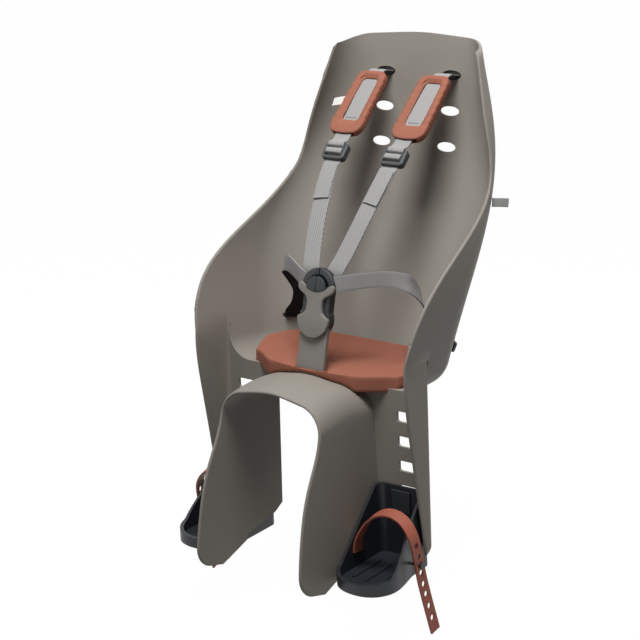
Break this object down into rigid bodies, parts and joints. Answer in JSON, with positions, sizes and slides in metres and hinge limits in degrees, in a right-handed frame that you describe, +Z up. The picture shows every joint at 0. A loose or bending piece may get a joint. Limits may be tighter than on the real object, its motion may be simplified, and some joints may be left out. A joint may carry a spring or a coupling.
{
  "type": "child bike seat",
  "caption": "Rear child seat for a bicycle: moulded bucket with leg channels over a wheel tunnel, harness, cushion, height-adjustable footrests and a rack clamp underneath.",
  "frame": {"origin": "middle of the rack adapter's flat underside, midway between the rails, on the height of their axes", "axes": "+Z up, the child faces -Y, the child's left is +X"},
  "size_m": [0.4468, 0.4573, 0.888],
  "materials": {
    "shell": "matt moulded polypropylene",
    "foam": "moulded foam",
    "webbing": "woven",
    "dark_plastic": "matt",
    "grey_plastic": "satin",
    "footrest": "matt",
    "strap_rubber": "matt",
    "steel": "zinc plated",
    "white_cloth": "woven",
    "grey_cloth": "woven"
  },
  "bodies": {
    "seat": {"seat_shell": "shell", "seat_cushion": "foam", "shoulder_pad_left": "foam", "shoulder_pad_right": "foam", "shoulder_strap_left": "webbing", "shoulder_strap_right": "webbing", "strap_tail_left": "webbing", "strap_tail_right": "webbing", "waist_strap_left": "webbing", "waist_strap_right": "webbing", "strap_slider_left": "dark_plastic", "strap_slider_right": "dark_plastic", "strap_bar_left": "dark_plastic", "strap_bar_right": "dark_plastic", "waist_keeper_left": "dark_plastic", "waist_keeper_right": "dark_plastic", "buckle_tongue_left": "dark_plastic", "buckle_tongue_right": "dark_plastic", "buckle_housing": "dark_plastic", "crotch_foot": "dark_plastic", "adapter_base": "dark_plastic", "buckle_cover": "grey_plastic", "crotch_strap": "grey_plastic", "button_spring": "steel", "adapter_bolts": "steel", "adapter_nuts": "steel", "pad_label": "white_cloth", "rear_loop": "grey_cloth"},
    "footrest_left": {"footrest_left": "footrest", "footrest_latch_left": "dark_plastic", "foot_strap_left": "strap_rubber", "strap_stud_left": "dark_plastic"},
    "footrest_right": {"footrest_right": "footrest", "footrest_latch_right": "dark_plastic", "foot_strap_right": "strap_rubber", "strap_stud_right": "dark_plastic"},
    "button": {"buckle_button": "dark_plastic"},
    "knob": {"clamp_knob": "dark_plastic", "clamp_screw": "steel", "screw_collar": "steel"},
    "jaw_left": {"clamp_jaw_left": "dark_plastic"},
    "jaw_right": {"clamp_jaw_right": "dark_plastic"}
  },
  "joints": [
    {"name": "footrest_left_slide", "type": "slide", "parent": "seat", "child": "footrest_left", "axis": [-0.0226, -0.064, 0.9977], "range_m": [0, 0.12]},
    {"name": "footrest_right_slide", "type": "slide", "parent": "seat", "child": "footrest_right", "axis": [0.0226, -0.064, 0.9977], "range_m": [0, 0.12]},
    {"name": "button_press", "type": "slide", "parent": "seat", "child": "button", "axis": [0, 0.9837, -0.1799], "range_m": [0, 0.003], "stiffness_N_per_m": 1500},
    {"name": "knob_turn", "type": "hinge", "parent": "seat", "child": "knob", "pos_m": [0, 0, 0.015], "axis": [1, 0, 0], "range_deg": [0, 1440]},
    {"name": "jaw_left_slide", "type": "slide", "parent": "seat", "child": "jaw_left", "axis": [-1, 0, 0], "range_m": [0, 0.014]},
    {"name": "jaw_right_slide", "type": "slide", "parent": "seat", "child": "jaw_right", "axis": [1, 0, 0], "range_m": [0, 0.014]}
  ],
  "couplings": [
    {"joint": "jaw_left_slide", "follows": "knob_turn", "m_per_rad": 0.00055704},
    {"joint": "jaw_right_slide", "follows": "knob_turn", "m_per_rad": 0.00055704}
  ]
}
